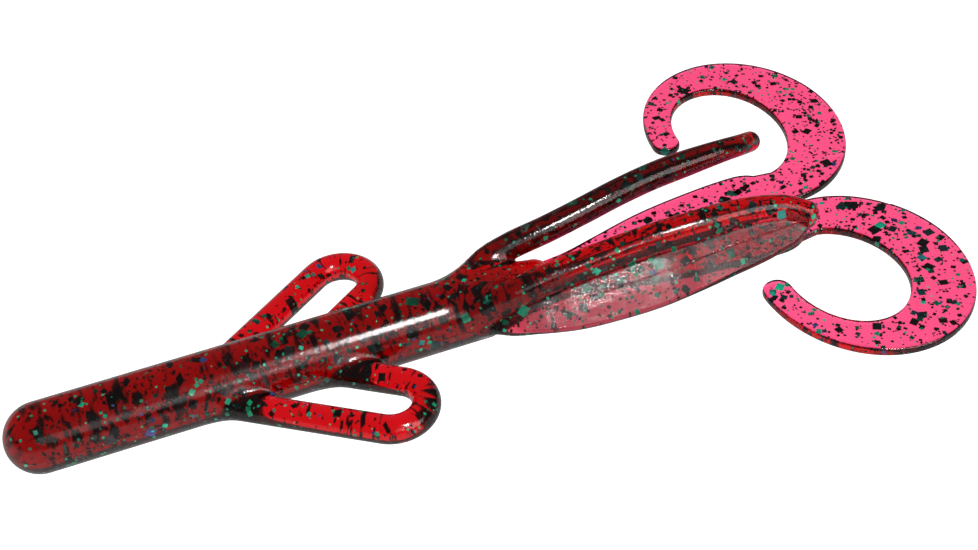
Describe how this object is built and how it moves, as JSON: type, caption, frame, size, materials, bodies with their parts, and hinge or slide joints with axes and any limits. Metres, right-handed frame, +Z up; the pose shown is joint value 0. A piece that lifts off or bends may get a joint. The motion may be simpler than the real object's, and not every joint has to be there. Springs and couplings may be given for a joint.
{
  "type": "soft plastic worm",
  "caption": "Soft moulded fishing bait: round trunk with a pair of side loops, a pair of swept, winged arms and a pair of flat curly tails.",
  "frame": {"origin": "under the middle of the bait's length, on the surface that the trunk lies on", "axes": "+X from the nose to the tails, +Y to the bait's right, +Z up"},
  "size_m": [0.1524, 0.0818, 0.0167],
  "materials": {
    "trunk_plastisol": "glossy, translucent dark red with green and black glitter",
    "arm_plastisol": "glossy, translucent dark red with green and black glitter",
    "loop_plastisol": "glossy, translucent bright red with green and black glitter",
    "tail_plastisol": "glossy, translucent pink where it is thin, with green and black glitter",
    "green_glitter": "green coated foil flakes, bright",
    "black_glitter": "black film flakes"
  },
  "bodies": {
    "middle": {"trunk_middle": "trunk_plastisol"},
    "front": {"nose": "trunk_plastisol", "trunk_front": "trunk_plastisol"},
    "rear": {"trunk_rear": "trunk_plastisol", "trunk_fork": "trunk_plastisol", "arm_shoulder_right": "arm_plastisol", "arm_web_root_right": "arm_plastisol", "arm_shoulder_left": "arm_plastisol", "arm_web_root_left": "arm_plastisol"},
    "loop_right": {"loop_front_leg_right": "loop_plastisol", "loop_bend_right": "loop_plastisol", "loop_rear_leg_right": "loop_plastisol"},
    "arm_right": {"arm_rib_right": "arm_plastisol", "arm_web_right": "arm_plastisol"},
    "tail_right": {"tail_stem_right": "tail_plastisol", "tail_turn_right": "tail_plastisol"},
    "curl_right": {"tail_curl_right": "tail_plastisol"},
    "tip_right": {"tail_tip_right": "tail_plastisol"},
    "loop_left": {"loop_front_leg_left": "loop_plastisol", "loop_bend_left": "loop_plastisol", "loop_rear_leg_left": "loop_plastisol"},
    "arm_left": {"arm_rib_left": "arm_plastisol", "arm_web_left": "arm_plastisol"},
    "tail_left": {"tail_stem_left": "tail_plastisol", "tail_turn_left": "tail_plastisol"},
    "curl_left": {"tail_curl_left": "tail_plastisol"},
    "tip_left": {"tail_tip_left": "tail_plastisol"}
  },
  "joints": [
    {"name": "front_bend", "type": "hinge", "parent": "middle", "child": "front", "pos_m": [-0.051, 0, 0.00558], "axis": [0, 0, 1], "range_deg": [-30, 30], "stiffness_Nm_per_rad": 0.05},
    {"name": "rear_bend", "type": "hinge", "parent": "middle", "child": "rear", "pos_m": [-0.006, 0, 0.00558], "axis": [0, 0, 1], "range_deg": [-20, 20], "stiffness_Nm_per_rad": 0.05},
    {"name": "loop_flap_right", "type": "hinge", "parent": "middle", "child": "loop_right", "pos_m": [-0.0182, 0.0084, 0.00478], "axis": [1, 0, 0], "range_deg": [-10, 60], "stiffness_Nm_per_rad": 0.006},
    {"name": "arm_swing_right", "type": "hinge", "parent": "rear", "child": "arm_right", "pos_m": [0.01344, 0.00538, 0.01206], "axis": [0, -1, 0], "range_deg": [-2, 25], "stiffness_Nm_per_rad": 0.02},
    {"name": "tail_splay_right", "type": "hinge", "parent": "rear", "child": "tail_right", "pos_m": [0.01745, 0.0023, 0.00678], "axis": [0, 0, 1], "range_deg": [-0.5, 4], "stiffness_Nm_per_rad": 0.02},
    {"name": "curl_wave_right", "type": "hinge", "parent": "tail_right", "child": "curl_right", "pos_m": [0.071, 0.0207, 0.00678], "axis": [1, 0, 0], "range_deg": [-10, 50], "stiffness_Nm_per_rad": 0.005},
    {"name": "tip_wave_right", "type": "hinge", "parent": "curl_right", "child": "tip_right", "pos_m": [0.05347, 0.03618, 0.00678], "axis": [-0.1736, 0.9848, 0], "range_deg": [-10, 50], "stiffness_Nm_per_rad": 0.002},
    {"name": "loop_flap_left", "type": "hinge", "parent": "middle", "child": "loop_left", "pos_m": [-0.0182, -0.0084, 0.00478], "axis": [-1, 0, 0], "range_deg": [-10, 60], "stiffness_Nm_per_rad": 0.006},
    {"name": "arm_swing_left", "type": "hinge", "parent": "rear", "child": "arm_left", "pos_m": [0.01344, -0.00538, 0.01206], "axis": [0, -1, 0], "range_deg": [-2, 25], "stiffness_Nm_per_rad": 0.02},
    {"name": "tail_splay_left", "type": "hinge", "parent": "rear", "child": "tail_left", "pos_m": [0.01745, -0.0023, 0.00678], "axis": [0, 0, -1], "range_deg": [-0.5, 4], "stiffness_Nm_per_rad": 0.02},
    {"name": "curl_wave_left", "type": "hinge", "parent": "tail_left", "child": "curl_left", "pos_m": [0.071, -0.0207, 0.00678], "axis": [-1, 0, 0], "range_deg": [-10, 50], "stiffness_Nm_per_rad": 0.005},
    {"name": "tip_wave_left", "type": "hinge", "parent": "curl_left", "child": "tip_left", "pos_m": [0.05347, -0.03618, 0.00678], "axis": [0.1736, 0.9848, 0], "range_deg": [-10, 50], "stiffness_Nm_per_rad": 0.002}
  ]
}
